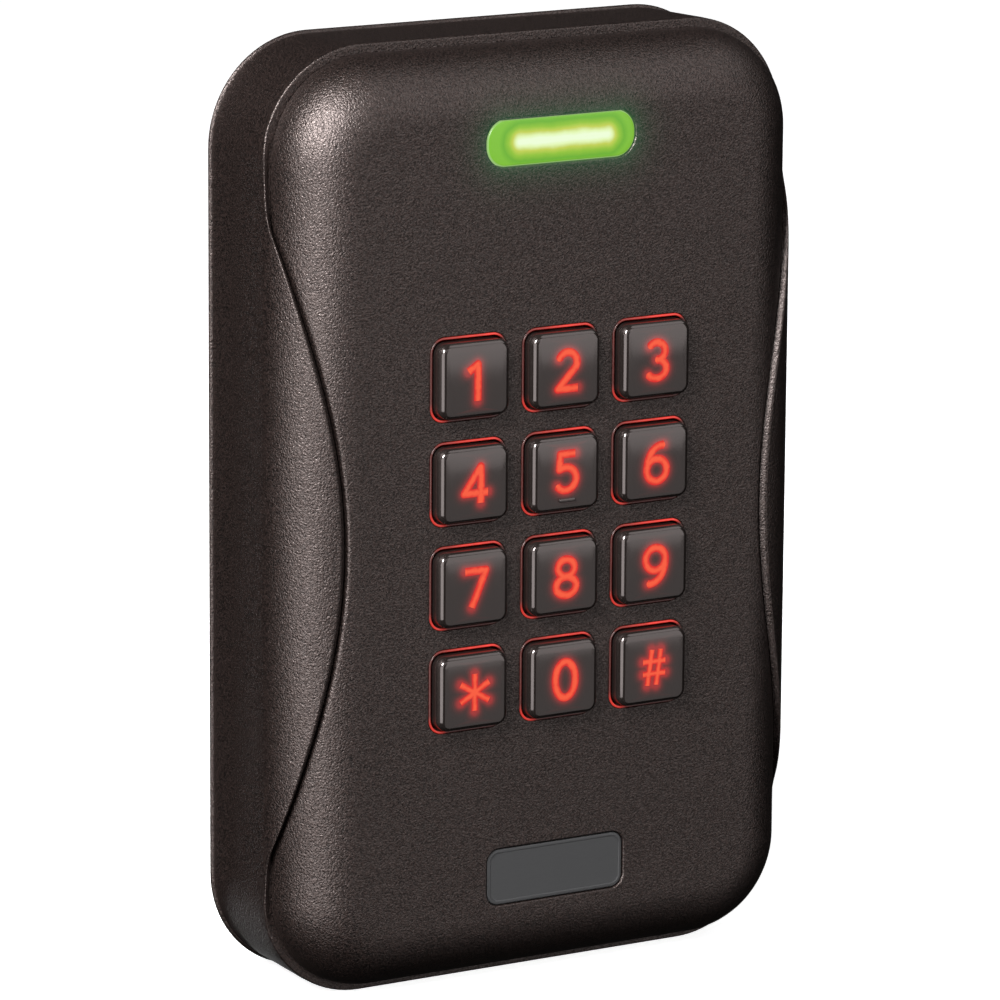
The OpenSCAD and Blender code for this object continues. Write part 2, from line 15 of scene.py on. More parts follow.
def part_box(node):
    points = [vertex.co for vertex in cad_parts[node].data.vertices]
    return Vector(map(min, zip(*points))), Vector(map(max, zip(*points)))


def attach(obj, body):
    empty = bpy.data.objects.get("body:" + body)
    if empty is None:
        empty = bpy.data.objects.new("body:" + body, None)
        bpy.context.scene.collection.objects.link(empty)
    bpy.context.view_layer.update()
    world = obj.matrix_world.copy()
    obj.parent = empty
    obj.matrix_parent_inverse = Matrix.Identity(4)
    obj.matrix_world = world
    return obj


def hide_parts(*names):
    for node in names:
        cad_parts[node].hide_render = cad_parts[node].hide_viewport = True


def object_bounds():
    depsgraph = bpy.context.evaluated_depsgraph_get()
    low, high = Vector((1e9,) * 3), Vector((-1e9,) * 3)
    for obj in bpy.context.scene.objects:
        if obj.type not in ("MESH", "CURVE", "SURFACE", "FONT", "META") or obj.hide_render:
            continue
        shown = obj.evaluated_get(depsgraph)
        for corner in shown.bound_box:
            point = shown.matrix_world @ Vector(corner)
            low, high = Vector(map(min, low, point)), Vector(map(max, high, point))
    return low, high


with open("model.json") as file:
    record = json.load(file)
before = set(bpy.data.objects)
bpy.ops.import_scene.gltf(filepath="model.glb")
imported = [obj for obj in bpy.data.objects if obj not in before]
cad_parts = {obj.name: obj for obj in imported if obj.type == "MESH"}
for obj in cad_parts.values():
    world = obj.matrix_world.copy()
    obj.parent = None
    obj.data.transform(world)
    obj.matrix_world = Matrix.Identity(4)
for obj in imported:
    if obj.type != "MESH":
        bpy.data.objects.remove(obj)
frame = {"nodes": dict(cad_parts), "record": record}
cad_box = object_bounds()
scene = bpy.context.scene
MM = 0.001


# --- Sizes in millimetres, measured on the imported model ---

def extent(node):
    """Lowest and highest corner of a CAD node as (x, depth, z), with depth growing to the front."""
    lo, hi = (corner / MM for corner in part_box(node))
    return Vector((lo.x, -hi.y, lo.z)), Vector((hi.x, -lo.y, hi.z))


def middle(node_extent):
    """Centre (x, z) of a node in the front view."""
    lo, hi = node_extent
    return (lo.x + hi.x) / 2, (lo.z + hi.z) / 2


def across(node_extent):
    """Width and height of a node in the front view."""
    lo, hi = node_extent
    return hi.x - lo.x, hi.z - lo.z


HOUSING = extent("rear_housing")
COVER = extent("front_cover")
LENS = extent("light_bar_lens")
BADGE = extent("badge_plate")
TERMINALS = extent("terminal_block")
COVER_SCREWS = extent("cover_screws")
BOARD_SCREWS = extent("main_board_screws")
KEYPAD_SCREWS = extent("keypad_board_screws")
SECURITY_SCREW = extent("security_screw")
SENSOR = extent("tamper_sensor")
GUIDE = extent("key_light_guide")
KEY_NAMES = ["1", "2", "3", "4", "5", "6", "7", "8", "9", "star", "0", "hash"]
KEYS = {name: extent("key_" + name) for name in KEY_NAMES}

HALF_W = HOUSING[1].x
HALF_H = HOUSING[1].z
CHEEK_FACE = HOUSING[1].y
CORNER_R = 15.0
WALL = 2.4
EDGE_R = 9.0                    # big rounding along the front edge
SIDE_DEPTH = CHEEK_FACE - EDGE_R
COVER_INSET = HALF_W - COVER[1].x
COVER_FACE = COVER[1].y
COVER_T = 2.4
COVER_BACK = COVER_FACE - COVER_T
CLEAR = 0.2                     # between the cover and the housing that it meets
COVER_FOOT = SIDE_DEPTH + CLEAR
SKIRT_REAR = COVER[0].y
SKIRT_INSET = WALL + CLEAR
SKIRT_T = 1.6
FLAT_INSET = COVER_INSET + EDGE_R   # the cover is flat inside this distance from the outline
FLOOR_REAR = 7.6
FLOOR_FRONT = 9.2

WAIST_IN = 8.0                  # how far the hourglass seam comes in at its waist
FLARE_LEN = 55.0                # height over which it widens again
WAIST_DROP = 1.0
SEAM_GAP = 0.3

KEY_GAP = 0.6                   # between a cap and its window
FLANGE_LAP = 0.5                # of a key's flange behind the window's edge
FLANGE_T = 0.9
FLANGE_W, FLANGE_H = across(KEYS["1"])
WINDOW_W = FLANGE_W - 2 * FLANGE_LAP
WINDOW_H = FLANGE_H - 2 * FLANGE_LAP
KEY_W = WINDOW_W - 2 * KEY_GAP
KEY_H = WINDOW_H - 2 * KEY_GAP
KEY_CORNER_R = 1.5
KEY_EDGE_R = 0.75
KEY_CROWN_R = 68.0              # the cap's front is part of a lying cylinder this big
WINDOW_R = KEY_CORNER_R + KEY_GAP
NIB_PROUD = 0.25
GLOW_REACH = 0.30               # how far the legend's light spreads in the cap

LENS_LAP = 1.5                  # of the light bar's flange behind the cover
BAR_W, BAR_H = (size - 2 * LENS_LAP for size in across(LENS))
BAR_R = 2.95
BAR_Z = middle(LENS)[1]
BADGE_W, BADGE_H = across(BADGE)
BADGE_Z = middle(BADGE)[1]
BADGE_R = 1.8

SCREW_HEAD_R = 2.6              # of the screws that hold the cover
SCREW_R = 1.35
SCREW_GAP = 0.3                 # round those screws in the housing
SCREW_SEAT = FLOOR_FRONT + 0.6
SMALL_HEAD_R = 2.1              # of the screws that hold the boards
SMALL_SCREW_R = 1.1
THREAD_GAP = 0.05               # round a screw in the boss it bites into
LOCK_HEAD_R = 2.7               # of the security screw
LOCK_SHANK_R = 1.7
LOCK_HEAD_H = 1.4
BOSS_R = 3.6                    # of the housing's bosses for the cover's screws
COVER_BOSS_R = 3.0
KEYPAD_BOSS_R = 2.4
POST_R = 2.6                    # of the posts under the main board
BOSS_MEET = SKIRT_REAR + CLEAR  # where the cover's bosses stand on the housing's
BOARD_REAR = FLOOR_FRONT + 2
TERMINAL_GAP = 0.6              # between the terminal block and its opening in the floor
KEYPAD_STACK = 2.7              # a screw head and the keypad board, below a boss
SUNK = 0.3                      # how far a boss or rib runs into the wall it stands on
SHARP = math.radians(35)        # edges that turn more than this stay crisp


def mix(a, b, share):
    return a + (b - a) * share


def smoothstep(value):
    value = min(1.0, max(0.0, value))
    return value * value * (3 - 2 * value)


# --- Mesh building ---

def triangulated(loops, extra):
    """Points over flat loops of (x, z), and faces each with the numbers of the loops it lies in."""
    flat = []
    faces = []
    for loop in loops:
        faces.append(list(range(len(flat), len(flat) + len(loop))))
        flat += [Vector(p) for p in loop]
    flat += [Vector(p) for p in extra]
    made = delaunay_2d_cdt(flat, [], faces, 1, 1e-5, True)
    return made[0], list(zip(made[2], made[5]))


class Shape:
    """Points (x, depth, z) in millimetres and faces between them, which become one mesh object."""

    def __init__(self):
        self.points = []
        self.faces = []

    def add(self, points):
        first = len(self.points)
        self.points += points
        return list(range(first, first + len(points)))

    def bridge(self, rows, closed=True):
        """Quads between neighbouring rows of points, each row a closed loop unless told otherwise."""
        rows = [self.add(row) for row in rows]
        for near, far in zip(rows, rows[1:]):
            for i in range(len(near) if closed else len(near) - 1):
                j = (i + 1) % len(near)
                self.faces.append((near[i], near[j], far[j], far[i]))
        return rows

    def solid(self, rows):
        """A closed body through rows of points, of which the first and last are each flat."""
        self.bridge(rows)
        for row in (rows[0], rows[-1]):
            self.sheet([(x, z) for x, _, z in row], (), row[0][1])

    def sheet(self, outer, holes=(), depth=0.0, extra=()):
        """A triangulated sheet inside the loop `outer` and outside each loop in `holes`.

        Loops and extra points are (x, z); depth is a number or a function of (x, z)."""
        height = depth if callable(depth) else lambda x, z: depth
        points, faces = triangulated([outer, *holes], extra)
        ids = self.add([(p.x, height(p.x, p.y), p.y) for p in points])
        for face, origin in faces:
            if set(origin) == {0}:
                self.faces.append(tuple(ids[i] for i in face))

    def union(self, polygons, top, base, extra=()):
        """A closed plate whose outline is the union of flat polygons of (x, z).

        top and base give a depth for (x, z); extra points are added inside the outline."""
        points, faces = triangulated(polygons, extra)
        kept = [face for face, origin in faces if origin]
        front = self.add([(p.x, top(p.x, p.y), p.y) for p in points])
        back = self.add([(p.x, base(p.x, p.y), p.y) for p in points])
        sides = {}
        for face in kept:
            self.faces.append(tuple(front[i] for i in face))
            self.faces.append(tuple(back[i] for i in reversed(face)))
            sides.update({side: True for side in zip(face, face[1:] + face[:1])})
        for a, b in sides:
            if (b, a) not in sides:
                self.faces.append((front[a], back[a], back[b], front[b]))

    def make(self, name, weighted=True, attribute=None):
        """The mesh object, with its doubled points joined and its normals facing out.

        attribute is a name and a function that gives the attribute's value at (x, depth, z)."""
        mesh = bpy.data.meshes.new(name)
        mesh.from_pydata([(x * MM, -d * MM, z * MM) for x, d, z in self.points], [], self.faces)
        work = bmesh.new()
        work.from_mesh(mesh)
        bmesh.ops.remove_doubles(work, verts=work.verts, dist=0.002 * MM)
        bmesh.ops.dissolve_degenerate(work, edges=work.edges, dist=0.001 * MM)
        bmesh.ops.delete(work, geom=[v for v in work.verts if not v.link_faces], context="VERTS")
        bmesh.ops.recalc_face_normals(work, faces=work.faces)
        work.to_mesh(mesh)
        work.free()
        mesh.shade_smooth()
        mesh.set_sharp_from_angle(angle=SHARP)
        if attribute:
            label, function = attribute
            layer = mesh.attributes.new(label, "FLOAT", "POINT")
            for vertex, item in zip(mesh.vertices, layer.data):
                x, y, z = vertex.co / MM
                item.value = function(x, -y, z)
        piece = bpy.data.objects.new(name, mesh)
        scene.collection.objects.link(piece)
        if weighted:
            modifier = piece.modifiers.new("weighted", "WEIGHTED_NORMAL")
            modifier.keep_sharp = True
        return piece


def round_loop(w, h, r, x=0.0, z=0.0, steps=8, grow=0.0, side_steps=1):
    """Points of a rounded rectangle, anticlockwise from the right side, grown by `grow` all round."""
    least_r = 0.02
    r = max(r + grow, least_r)
    a, b = w / 2 + grow - r, h / 2 + grow - r
    centres = [(a, b), (-a, b), (-a, -b), (a, -b)]
    loop = []
    for quarter, (cx, cz) in enumerate(centres):
        turns = [math.pi / 2 * (quarter + i / steps) for i in range(steps + 1)]
        loop += [(x + cx + r * math.cos(turn), z + cz + r * math.sin(turn)) for turn in turns]
        nx, nz = centres[(quarter + 1) % 4]
        out_x, out_z = r * math.cos(turns[-1]), r * math.sin(turns[-1])
        shares = [i / side_steps for i in range(1, side_steps)]
        loop += [(x + mix(cx, nx, k) + out_x, z + mix(cz, nz, k) + out_z) for k in shares]
    return loop


def box_outline(w, h, r, x=0.0, z=0.0, steps=8, side_steps=1, gap=0.0):
    """A rounded rectangle with a gap round it, as a function of how far to grow it."""
    return lambda grow: round_loop(w, h, r, x, z, steps, grow + gap, side_steps)


def circle_loop(r, x=0.0, z=0.0, steps=36):
    return [(x + r * math.cos(2 * math.pi * i / steps), z + r * math.sin(2 * math.pi * i / steps))
            for i in range(steps)]


def at_depth(loop, depth):
    """A flat loop of (x, z) placed at a depth."""
    return [(x, depth, z) for x, z in loop]


def quarter_round(steps):
    """(share of the radius still to go sideways, share already gone down) round a 90 degree edge."""
    turns = [math.pi / 2 * i / steps for i in range(steps + 1)]
    return [(1 - math.sin(turn), 1 - math.cos(turn)) for turn in turns]


def bezier(controls, steps=16):
    """Points of the curve from the first control point to the last, pulled by those between."""
    order = len(controls) - 1
    points = []
    for u in (i / steps for i in range(steps + 1)):
        weights = [math.comb(order, k) * u ** k * (1 - u) ** (order - k) for k in range(order + 1)]
        points.append(tuple(sum(w * p[axis] for w, p in zip(weights, controls)) for axis in (0, 1)))
    return points


def round_corner(start, corner, end, steps):
    """Points after start, up to end, that round the corner between them."""
    return bezier((start, corner, end), steps)[1:]


def rounded_edge(loop_of, front, radius, steps):
    """Rows of points from a face round to the side of a growable outline."""
    return [at_depth(loop_of(-radius * side), front - radius * down)
            for side, down in quarter_round(steps)]


def plate(shape, outline, holes, rear, front, edge):
    """A flat plate with rounded edges. outline and holes are functions of how far to grow them."""
    rings = [(edge * side, edge * down) for side, down in quarter_round(3)]
    for loop_of, way in [(outline, -1)] + [(hole, 1) for hole in holes]:
        rows = [at_depth(loop_of(way * side), front - down) for side, down in rings]
        rows += [at_depth(loop_of(way * side), rear + down) for side, down in reversed(rings)]
        shape.bridge(rows)
    for depth in (rear, front):
        shape.sheet(outline(-edge), [hole(edge) for hole in holes], depth)


def lathe(shape, x, z, profile, steps=36):
    """Turns a closed profile of (radius, depth) round an axis along the depth."""
    rows = [at_depth(circle_loop(r, x, z, steps), d) for r, d in profile]
    shape.bridge(rows + rows[:1])


# --- The body's outline and seam ---

def outline_columns(side_steps=84, end_steps=12, corner_steps=22):
    """Points (x, z) round the body's outline, each with the direction (x, z) straight outwards."""
    a, b = HALF_W - CORNER_R, HALF_H - CORNER_R
    centres = [(a, b), (-a, b), (-a, -b), (a, -b)]
    columns = []
    for quarter, (cx, cz) in enumerate(centres):
        px, pz = centres[quarter - 1]
        steps = end_steps if quarter % 2 else side_steps
        run = [(mix(px, cx, i / steps), mix(pz, cz, i / steps), 0) for i in range(steps)]
        run += [(cx, cz, i / corner_steps) for i in range(corner_steps)]
        for x, z, turn in run:
            angle = math.pi / 2 * (quarter + turn)
            out = (math.cos(angle), math.sin(angle))
            columns.append((x + CORNER_R * out[0], z + CORNER_R * out[1], *out))
    return columns


def seam_x(z):
    """Half-width of the hourglass seam at a height."""
    flare = min(abs(z + WAIST_DROP), FLARE_LEN) / FLARE_LEN
    return HALF_W - WAIST_IN + WAIST_IN / 2 * (1 - math.cos(math.pi * flare))


def seam_inset(column):
    """How far inside the outline the seam's middle lies, or less than 0 where it lies outside."""
    x, z, out_x, _ = column
    far_outside = -20.0
    return (abs(x) - seam_x(z)) / abs(out_x) if abs(out_x) > 0.5 else far_outside


def along(column, inset, depth):
    """The point (x, depth, z) that lies inset from the outline at a column."""
    x, z, out_x, out_z = column
    return (x - inset * out_x, depth, z - inset * out_z)


def fillet(inset, radius, centre_inset, centre_depth):
    """Depth of a rounded edge's surface at a distance inside the outline."""
    reach = min(radius, max(0.0, centre_inset - inset))
    return centre_depth + math.sqrt(radius * radius - reach * reach)


def sweep(shape, profile_of, closed=True):
    """Carries a cross-section (inset, depth), which depends on the column, round the outline."""
    rows = [[along(column, s, d) for s, d in profile_of(column)] for column in outline_columns()]
    shape.bridge(rows + rows[:1], closed)


# --- Rear housing ---

CHAMFER = 0.9                   # width of the bevel between the cheek and the seam
RIM_ROUND = 0.3                 # of the edge between the cheek and the bevel
FOOT_ROUND = 0.1
GROOVE = 0.5                    # how far the bevel's foot lies below the cover's edge
FADE = 1.2                      # the cheek grows to its full width while the seam moves this far
SIDE_RUN = 1.5                  # straight side kept next to the cheek's rounding
REAR_EDGE_R = 0.4
LAND_W = 3.0                    # of the land behind the cover's edge


def soft_max(a, b, blend=0.25):
    """The larger of two numbers, rounded over where they are close."""
    return (a + b + math.sqrt((a - b) ** 2 + blend ** 2)) / 2


def cover_edge(column):
    """How far the cover's edge lies inside the outline: it leaves the seam where the cheek ends."""
    return soft_max(seam_inset(column) + SEAM_GAP / 2, COVER_INSET)


def cover_surface(inset):
    """Depth of the cover's rounded front edge at a distance inside the outline."""
    return fillet(inset, EDGE_R, FLAT_INSET, COVER_FACE - EDGE_R)


def bevel_foot(column):
    """How far the bevel's foot lies inside the outline, just short of the cover's edge."""
    return cover_edge(column) - SEAM_GAP


def cheek(column, fillet_steps=16):
    """The housing's outer surface (inset, depth), from its side wall round to the bevel's foot."""
    cheek_end = seam_inset(column) - CHAMFER
    fade_start = -1.5
    outer = soft_max(cheek_end, 0.0) * smoothstep((cheek_end - fade_start) / FADE)
    turn = math.acos(1 - outer / EDGE_R)
    top = SIDE_DEPTH + EDGE_R * math.sin(turn)
    foot = bevel_foot(column)
    foot_depth = max(SIDE_DEPTH, cover_surface(foot + SEAM_GAP) - GROOVE)
    before = turn - RIM_ROUND / EDGE_R
    start = min(0.0, before) * EDGE_R
    points = [(0, SIDE_DEPTH - SIDE_RUN + start)]
    for i in range(fillet_steps + 1):
        angle = mix(0, max(0.0, before), i / fillet_steps)
        points.append((EDGE_R * (1 - math.cos(angle)), SIDE_DEPTH + start + EDGE_R * math.sin(angle)))
    run = math.hypot(foot - outer, foot_depth - top)
    after = (mix(outer, foot, RIM_ROUND / run), mix(top, foot_depth, RIM_ROUND / run))
    points += round_corner(points[-1], (outer, top), after, 5)
    points.append((foot - FOOT_ROUND, mix(after[1], foot_depth, 1 - FOOT_ROUND / run)))
    ledge = (foot, max(SIDE_DEPTH, foot_depth - FOOT_ROUND))
    return points + round_corner(points[-1], (foot, foot_depth), ledge, 2)


def housing_profile(column, inner_steps=8, wall_steps=4):
    """Closed cross-section (inset, depth) of the housing's wall, cheek, bevel and land."""
    rear = [(REAR_EDGE_R * side, REAR_EDGE_R * (1 - down)) for down, side in quarter_round(3)]
    foot = bevel_foot(column)
    land = max(WALL, foot - LAND_W)
    insets = [mix(foot, land, i / inner_steps) for i in range(inner_steps + 1)]
    inner = [(inset, max(SIDE_DEPTH, shell_depth(inset))) for inset in insets]
    insets = [mix(land, WALL, i / wall_steps) for i in range(1, wall_steps + 1)]
    down = [(inset, shell_depth(inset)) for inset in insets]
    return rear + cheek(column) + inner + down + [(WALL, 0.3), (WALL - 0.1, 0.1), (WALL - 0.3, 0)]


def shell_depth(inset):
    """Depth of the housing's inner face behind the cheek."""
    return fillet(max(inset, WALL), FLAT_INSET - WALL, FLAT_INSET, SIDE_DEPTH - COVER_INSET)


def corners(node_extent, overhang):
    """The four (x, z) places of a set of screws whose heads reach overhang past their axes."""
    x, z = node_extent[1].x - overhang, node_extent[1].z - overhang
    return [(sx * x, sz * z) for sx in (-1, 1) for sz in (-1, 1)]


def tube(shape, x, z, outer_r, bore_r, rear, front, seat=None):
    """A boss with a bore, which narrows to seat's (radius, depth) where a screw head sits."""
    profile = [(outer_r, rear), (outer_r, front)]
    if seat:
        narrow_r, step = seat
        profile += [(narrow_r, front), (narrow_r, step), (bore_r, step)]
    else:
        profile.append((bore_r, front))
    lathe(shape, x, z, profile + [(bore_r, rear)])


def housing_floor(shape):
    """The floor behind the electronics: its openings, the screw bosses and the board's posts."""
    wells = corners(COVER_SCREWS, SCREW_HEAD_R)
    well_r = SCREW_HEAD_R + SCREW_GAP
    aperture_w, aperture_h = (size + 2 * TERMINAL_GAP for size in across(TERMINALS))
    _, sensor_z = middle(SENSOR)
    sight_r = 2.2
    slot_w, slot_h = 7.4, 7.2
    slot_x = BOARD_SCREWS[1].x - SMALL_HEAD_R - POST_R - 0.8 - slot_w / 2
    slot_z = sensor_z + 0.4

    def round_hole(r, x, z):
        return lambda grow: circle_loop(r + grow, x, z)

    outline = box_outline(2 * HALF_W - WALL, 2 * HALF_H - WALL, CORNER_R - WALL / 2)
    holes = [box_outline(aperture_w, aperture_h, 0.5, *middle(TERMINALS))]
    holes += [box_outline(slot_w, slot_h, 0.1, side * slot_x, slot_z, 2) for side in (-1, 1)]
    holes.append(round_hole(sight_r, 0, sensor_z))
    holes += [round_hole(well_r, x, z) for x, z in wells]
    plate(shape, outline, holes, FLOOR_REAR, FLOOR_FRONT, 0.15)
    for x, z in wells:
        tube(shape, x, z, BOSS_R, well_r, FLOOR_REAR, BOSS_MEET, (SCREW_R + SCREW_GAP, SCREW_SEAT))
    for x, z in corners(BOARD_SCREWS, SMALL_HEAD_R):
        tube(shape, x, z, POST_R, SMALL_SCREW_R, FLOOR_FRONT - 0.1, BOARD_REAR)


def ring_profile(column):
    """Cross-section of the thin wall on the floor that follows the cover's skirt."""
    rear, front = FLOOR_FRONT - 0.1, SKIRT_REAR - 1
    outer = max(SKIRT_INSET, cover_edge(column))
    inner = outer + SKIRT_T
    return [(outer, rear), (outer, front), (inner, front), (inner, rear)]


def security_bore(shape):
    """Cutter for the security screw's hole and counterbore, in the bottom wall."""
    x, depth = middle_axis(SECURITY_SCREW)
    wide_r = LOCK_HEAD_R + CLEAR
    seat = SECURITY_SCREW[0].z + LOCK_HEAD_H
    past = 1.0
    profile = [(wide_r, -HALF_H - past), (wide_r, seat),
               (LOCK_SHANK_R, seat), (LOCK_SHANK_R, WALL + past - HALF_H)]
    rows = []
    for r, z in profile:
        rows.append([(px, d, z) for px, d in circle_loop(r, x, depth, steps=40)])
    ids = shape.bridge(rows)
    shape.faces.append(tuple(ids[0]))
    shape.faces.append(tuple(reversed(ids[-1])))


def middle_axis(node_extent):
    """(x, depth) of an upright node's axis."""
    lo, hi = node_extent
    return (lo.x + hi.x) / 2, (lo.y + hi.y) / 2


def rear_housing():
    """The housing as two meshes: the shell, cut for the security screw, and the floor inside it."""
    shape = Shape()
    sweep(shape, housing_profile)
    shell = shape.make("housing_shell", weighted=False)
    cutter = Shape()
    security_bore(cutter)
    cut(shell, cutter.make("cutter", weighted=False))

    inside = Shape()
    housing_floor(inside)
    sweep(inside, ring_profile)
    return shell, inside.make("housing_floor")


def cut(piece, cutter):
    """Takes the cutter out of the piece, then removes the cutter."""
    modifier = piece.modifiers.new("cut", "BOOLEAN")
    modifier.operation = "DIFFERENCE"
    modifier.solver = "EXACT"
    modifier.object = cutter
    bpy.context.view_layer.update()
    evaluated = piece.evaluated_get(bpy.context.evaluated_depsgraph_get())
    piece.data = bpy.data.meshes.new_from_object(evaluated)
    piece.modifiers.clear()
    piece.data.set_sharp_from_angle(angle=SHARP)
    bpy.data.objects.remove(cutter)
    piece.modifiers.new("weighted", "WEIGHTED_NORMAL").keep_sharp = True


# --- Front cover ---

def cover_profile(column, front_steps=14, inner_steps=7):
    """Cross-section (inset, depth) of the cover's border, from its flat front round to its back."""
    def underside(inset):
        return fillet(inset, EDGE_R - COVER_T, FLAT_INSET, COVER_FACE - EDGE_R)

    most_rounding = 0.4
    edge = max(cover_edge(column), COVER_INSET + 0.005)
    rounding = min(most_rounding, 0.5 * (edge - COVER_INSET))
    turn = math.asin((FLAT_INSET - edge - rounding) / EDGE_R)
    points = []
    for i in range(front_steps + 1):
        angle = turn * i / front_steps
        inset = FLAT_INSET - EDGE_R * math.sin(angle)
        points.append((inset, max(COVER_FOOT, cover_surface(inset))))
    top = max(COVER_FOOT, cover_surface(edge))
    points += round_corner(points[-1], (edge, top), (edge, max(COVER_FOOT, top - rounding)), 4)
    skirt = max(SKIRT_INSET, edge)
    points += [(edge, COVER_FOOT), (skirt, COVER_FOOT), (skirt, SKIRT_REAR)]
    inner = skirt + SKIRT_T
    points.append((inner, SKIRT_REAR))
    for i in range(inner_steps + 1):
        inset = mix(inner, FLAT_INSET, i / inner_steps)
        points.append((inset, underside(inset)))
    return points


def front_cover():
    """The cover: its border, its face with windows for keys and light bar, and the badge's recess."""
    shape = Shape()
    sweep(shape, cover_profile, closed=False)
    gap = 0.1                       # round the light bar and the badge
    lip = 0.22                      # rounding of the windows' edges
    through = [box_outline(WINDOW_W, WINDOW_H, WINDOW_R, *middle(KEYS[name])) for name in KEY_NAMES]
    through.append(box_outline(BAR_W, BAR_H, BAR_R, 0, BAR_Z, steps=14, gap=gap))
    badge_pocket = box_outline(BADGE_W, BADGE_H, BADGE_R, 0, BADGE_Z, gap=gap)
    for loop_of, foot in [(hole, COVER_BACK) for hole in through] + [(badge_pocket, BADGE[0].y)]:
        rows = [at_depth(loop_of(lip * side), COVER_FACE - lip * down)
                for side, down in quarter_round(4)]
        shape.bridge(rows + [at_depth(loop_of(0), foot)])
    boundary = [along(column, FLAT_INSET, 0)[::2] for column in outline_columns()]
    holes = [hole(lip) for hole in through + [badge_pocket]]
    shape.sheet(boundary, holes, COVER_FACE)
    shape.sheet(boundary, [hole(0) for hole in through], COVER_BACK)
    shape.sheet(badge_pocket(0), (), BADGE[0].y)
    cover_inside(shape)
    return shape.make("cover_shell")


def cover_inside(shape):
    """Screw bosses behind the cover, and the rib that holds the light guide down."""
    root = COVER_BACK + SUNK
    board_rear = KEYPAD_SCREWS[0].y
    for x, z in corners(COVER_SCREWS, SCREW_HEAD_R):
        tube(shape, x, z, COVER_BOSS_R, SCREW_R + THREAD_GAP, BOSS_MEET + 0.1, root)
    for x, z in corners(KEYPAD_SCREWS, SMALL_HEAD_R):
        tube(shape, x, z, KEYPAD_BOSS_R, SMALL_SCREW_R + THREAD_GAP, board_rear + KEYPAD_STACK, root)
    x, z = middle(GUIDE)
    rib_w, rib_h = (size - CLEAR for size in across(GUIDE))
    rib_t = 1.2

    def rib(inset, depth):
        return at_depth(round_loop(rib_w - 2 * inset, rib_h - 2 * inset, 0.1, x, z, 2), depth)

    tip = GUIDE[1].y
    path = [rib(0, tip), rib(0, root), rib(rib_t, root), rib(rib_t, tip)]
    shape.bridge(path + path[:1])


# --- Light bar and badge ---

def light_bar():
    """Lens with a softly domed front and the flange that holds it behind the cover."""
    shape = Shape()
    front = COVER_FACE - 0.04
    flange = LENS[0].y + 1.2
    rounding = 0.4
    dome = 0.05
    dome_steps = 5

    loop = box_outline(BAR_W, BAR_H, BAR_R, 0, BAR_Z, steps=14)
    rows = []
    for share in (i / dome_steps for i in range(1, dome_steps)):
        rows.append(at_depth(loop(-mix(BAR_R, rounding, share)), front + dome * (1 - share ** 2)))
    rows += rounded_edge(loop, front, rounding, 5)
    rows += [at_depth(loop(0), flange), at_depth(loop(LENS_LAP), flange),
             at_depth(loop(LENS_LAP), LENS[0].y)]
    shape.solid(rows)
    return shape.make("light_bar")


def badge():
    """Blank satin plate with a fine raised border."""
    shape = Shape()
    front = BADGE[1].y
    loop = box_outline(BADGE_W, BADGE_H, BADGE_R, 0, BADGE_Z, steps=10)
    border = [(-0.62, -0.06), (-0.56, -0.05), (-0.5, 0), (-0.25, 0), (-0.15, -0.015), (-0.07, -0.05),
              (0, -0.15)]
    rows = [at_depth(loop(grow), front + rise) for grow, rise in border]
    shape.solid(rows + [at_depth(loop(0), BADGE[0].y)])
    return shape.make("badge")


# --- Keys ---

LEGEND_STROKE = 1.12
LEGEND_H = 6.1
LEGEND_SHIFT = -0.03
LEGEND_LIFT = {"1": -0.3, "5": 0.3}             # above the cap's centre
LEGEND_WEIGHT = {"hash": 0.72, "star": 0.8}     # share of the usual stroke
LEGEND_PROUD = 0.03
LEGEND_SUNK = 0.2                               # depth of its foot inside the cap
CAP_WALL = 1.2
CAP_ROOF = 1.4


def arc(x, z, rx, rz, start, end, steps=20):
    """Points of an ellipse's arc; angles in degrees, anticlockwise from the right."""
    turns = [math.radians(mix(start, end, i / steps)) for i in range(steps + 1)]
    return [(x + rx * math.cos(turn), z + rz * math.sin(turn)) for turn in turns]


def legend_strokes(name):
    """Centre lines of a key's legend, in millimetres round the cap's centre."""
    h = (LEGEND_H - LEGEND_STROKE) / 2
    w = 1.58
    arm = 2.55
    six = [arc(0, -h + w, w, w, 0, 360, 32),
           bezier([(1.15, h), (-0.6, h + 0.1), (-w, 1.0), (-w, -h + w)])]
    strokes = {
        "0": [arc(0, 0, w, h, 0, 360, 40)],
        "1": [[(-1.25, 1.55), (0.2, h), (0.2, -h)]],
        "2": [arc(-0.05, h - 1.4, 1.45, 1.4, 158, -28) + [(-w, -h), (w, -h)]],
        "3": [arc(-0.2, 1.28, 1.35, h - 1.28, 145, -90), arc(-0.2, -1.16, 1.55, h - 1.2, 90, -148)],
        "4": [[(1.85, -1.05), (-1.85, -1.05), (0.75, h), (0.75, -h)]],
        "5": [[(1.3, h), (-1.05, h), (-1.22, 0.42)] + arc(-0.2, -0.92, 1.62, 1.58, 118, -146)],
        "6": six,
        "7": [[(-w, h), (w + 0.05, h), (-0.55, -h)]],
        "8": [arc(0, 1.3, 1.28, h - 1.3, 0, 360, 32), arc(0, -1.2, w, h - 1.2, 0, 360, 32)],
        "9": [[(-x, -z) for x, z in stroke] for stroke in six],
        "star": [[(side * arm * math.sin(turn), side * arm * math.cos(turn)) for side in (1, -1)]
                 for turn in (0, math.pi / 3, -math.pi / 3)],
        "hash": [[(-0.35 + s, h), (-1.05 + s, -h)] for s in (0, 1.4)]
        + [[(-1.8, y), (1.8, y)] for y in (0.85, -0.85)],
    }
    return strokes[name]


